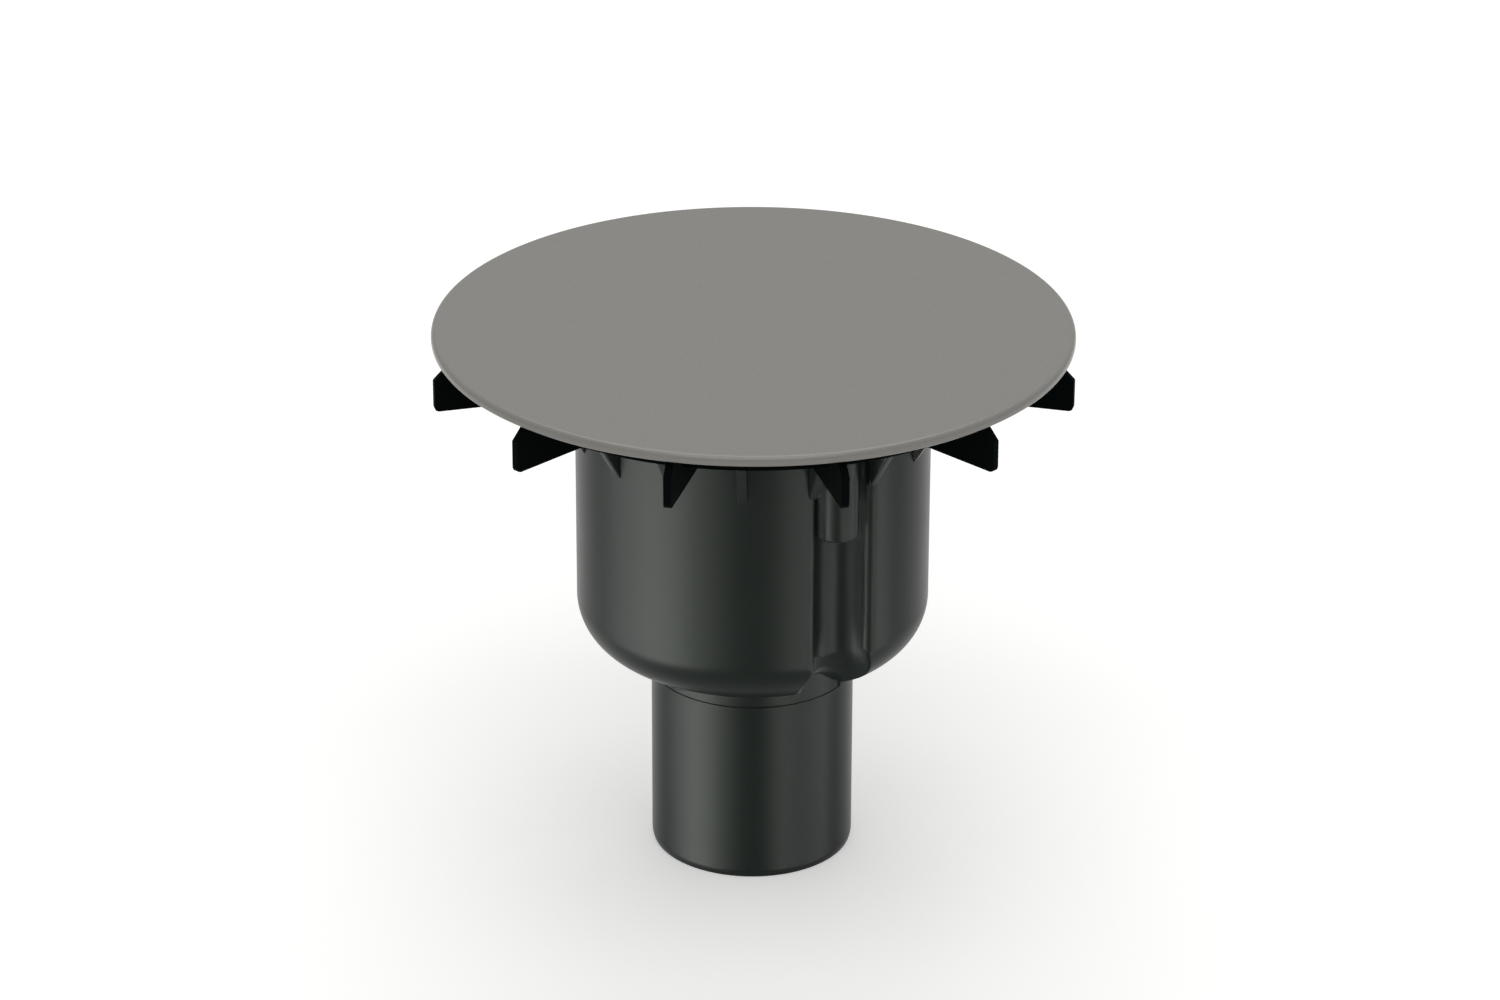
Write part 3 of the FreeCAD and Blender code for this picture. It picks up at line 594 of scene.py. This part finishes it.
def makeInserts(material):
    i = insert
    bore, radius, foot, top = i["bore"], i["radius"], i["foot"], i["top"]
    rims = [(bore, top, i["topEdge"], 2), (radius, top, i["topEdge"], 2), (radius, foot, i["footEdge"], 2)]
    bush = spun([(bore, foot), (radius, foot), (radius, top), (bore, top)], i["steps"], rims)
    bmesh.ops.translate(bush, verts=bush.verts, vec=(0, -i["at"] * mm, 0))
    return placePiece(ringOf(bush, 2), "threadedInserts", "threaded_inserts", material)


seal = {"inner": 45.5, "outer": 50.5, "thickness": 1.0, "edge": 0.3, "steps": 240,
        "lowerSeal": ("lower_seal", 125.0), "upperSeal": ("upper_seal", 126.0)}  # node and height of each


def makeSeals(material):
    inner, outer = seal["inner"], seal["outer"]
    made = []
    for name in ("lowerSeal", "upperSeal"):
        node, bottom = seal[name]
        top = bottom + seal["thickness"]
        rims = [(r, z, seal["edge"], 3) for r in (inner, outer) for z in (bottom, top)]
        ring = spun([(inner, bottom), (outer, bottom), (outer, top), (inner, top)], seal["steps"], rims)
        made.append(placePiece(ring, name, node, material))
    return made


coverFinish, bodyFinish, carrierFinish = coverEnamel(), bodyPlastic(), carrierPlastic()
bellFinish, steelFinish = bellPlastic(), stainlessSteel()
brassFinish, rubberFinish = insertBrass(), sealRubber()
print("materials made")

pieces = [makeCover(coverFinish), makeCarrier(carrierFinish), makeTrapBody(bodyFinish),
          makeSpigot(bodyFinish), makeBell(bellFinish), makeClampFlange(steelFinish),
          makeScrews(steelFinish), makeInserts(brassFinish), *makeSeals(rubberFinish)]
print("pieces made")

floorLook = {"colour": "#F2F2F0", "lift": 0.33, "half": 6000.0}


def makeFloor():
    bm = bmesh.new()
    bmesh.ops.create_grid(bm, x_segments=1, y_segments=1, size=floorLook["half"] * mm)
    mesh = bpy.data.meshes.new("studioFloor")
    bm.to_mesh(mesh)
    bm.free()
    material, tree, place, shader = newMaterial("paleStudioPaper")
    # the paper is lifted to white for the camera and in reflections, and keeps the shadow
    ray = addNode(tree, "ShaderNodeLightPath")
    seen = addNode(tree, "ShaderNodeMath", {"operation": "MAXIMUM"}, _0=ray.outputs["Is Camera Ray"],
                   _1=ray.outputs["Is Glossy Ray"])
    seenAll = addNode(tree, "ShaderNodeMath", {"operation": "MAXIMUM"}, _0=seen.outputs["Value"],
                      _1=ray.outputs["Is Transmission Ray"])
    lift = addNode(tree, "ShaderNodeMath", {"operation": "MULTIPLY"}, _0=seenAll.outputs["Value"],
                   _1=floorLook["lift"])
    tree.links.new(lift.outputs["Value"], shader.inputs["Emission Strength"])
    setSockets(shader, Base_Color=linearColour(floorLook["colour"]), Roughness=0.9, Specular_IOR_Level=0.0,
               Emission_Color=(1.0, 1.0, 1.0, 1.0))
    mesh.materials.append(material)
    floor = bpy.data.objects.new("studioFloor", mesh)
    scene.collection.objects.link(floor)


def onCircle(azimuth, distance, height):
    # azimuth 0 stands at -Y, and grows towards +X
    turn = math.radians(azimuth)
    return Vector((math.sin(turn) * distance, -math.cos(turn) * distance, height)) * mm


lamps = {
    # name: azimuth, distance, height, height that it faces, width and height of its face, watts
    "overheadSoftbox": (-30.0, 550.0, 1350.0, 60.0, 1000.0, 1000.0, 5.5),
    "backSoftbox": (150.0, 700.0, 1400.0, 60.0, 1000.0, 1000.0, 6.0),
}

# the upright walls mirror what lies below the floor's level, so the low lamps stand there
# and shine past the floor on the black plastic alone
lowStand = {"distance": 1200.0, "below": -27.0, "facing": 75.0, "tall": 520.0}
lowLamps = {
    # name: azimuth, width of its face, watts, and whether the walls that it lights also shade it
    "leftWideSoftbox": (-91.0, 2160.0, 8.5, False),
    "leftMiddleSoftbox": (-91.0, 1390.0, 7.5, True),
    "leftNarrowSoftbox": (-91.0, 640.0, 6.0, True),
    "rightSoftbox": (26.0, 1740.0, 9.6, True),
    "rightNarrowSoftbox": (5.5, 340.0, 1.3, True),
}


def makeLamp(name, place, faces, width, tall, watts):
    light = bpy.data.lights.new(name, "AREA")
    light.shape, light.size, light.size_y, light.energy = "RECTANGLE", width * mm, tall * mm, watts
    lamp = bpy.data.objects.new(name, light)
    scene.collection.objects.link(lamp)
    lamp.location = place
    aim = Vector((0, 0, faces * mm)) - lamp.location
    lamp.rotation_euler = aim.to_track_quat("-Z", "Y").to_euler()
    lamp.visible_camera = False
    return lamp


def makeLamps(pieces):
    for name, (azimuth, distance, height, faces, width, tall, watts) in lamps.items():
        makeLamp(name, onCircle(azimuth, distance, height), faces, width, tall, watts)
    lit = bpy.data.collections.new("blackPlastic")
    above = bpy.data.collections.new("upperPieces")
    whole = bpy.data.collections.new("wholeDrain")
    for piece in pieces:
        whole.objects.link(piece)
        (lit if piece.name in ("trapBody", "outletSpigot") else above).objects.link(piece)
    facing, fall = lowStand["facing"], math.radians(lowStand["below"])
    reach, height = lowStand["distance"] * math.cos(fall), facing + lowStand["distance"] * math.sin(fall)
    for name, (azimuth, width, watts, shaded) in lowLamps.items():
        lamp = makeLamp(name, onCircle(azimuth, reach, height), facing, width, lowStand["tall"], watts)
        lamp.light_linking.receiver_collection = lit
        lamp.light_linking.blocker_collection = whole if shaded else above
        lamp.data.cycles.use_multiple_importance_sampling = False  # reflected rays stop at the floor


studio = {"colour": "#FFFFFF", "strength": 0.45}


def makeWorld():
    world = bpy.data.worlds.new("paleStudio")
    world.use_nodes = True
    shade = world.node_tree.nodes["Background"]
    setSockets(shade, Color=linearColour(studio["colour"]), Strength=studio["strength"])
    scene.world = world


view = {"azimuth": -30.55, "pitch": 24.89, "roll": 0.188, "distance": 1290.6, "aimHeight": 91.6,
        "aimSide": -0.7, "lens": 126.55, "sensor": 36.0}


def makeCamera():
    data = bpy.data.cameras.new("photoCamera")
    data.lens, data.sensor_width = view["lens"], view["sensor"]
    camera = bpy.data.objects.new("photoCamera", data)
    scene.collection.objects.link(camera)
    turn, pitch = math.radians(view["azimuth"]), math.radians(view["pitch"])
    side = Vector((math.cos(turn), math.sin(turn), 0))
    back = Vector((math.sin(turn) * math.cos(pitch), -math.cos(turn) * math.cos(pitch), math.sin(pitch)))
    aim = side * view["aimSide"] + Vector((0, 0, view["aimHeight"]))
    spot = Matrix.Translation((aim + back * view["distance"]) * mm)
    tilt = Matrix.Rotation(math.pi / 2 - pitch, 4, "X")
    roll = Matrix.Rotation(math.radians(view["roll"]), 4, "Z")
    camera.matrix_world = spot @ Matrix.Rotation(turn, 4, "Z") @ tilt @ roll
    scene.camera = camera


makeFloor()
makeLamps(pieces)
makeWorld()
makeCamera()
print("floor, lamps and camera set")
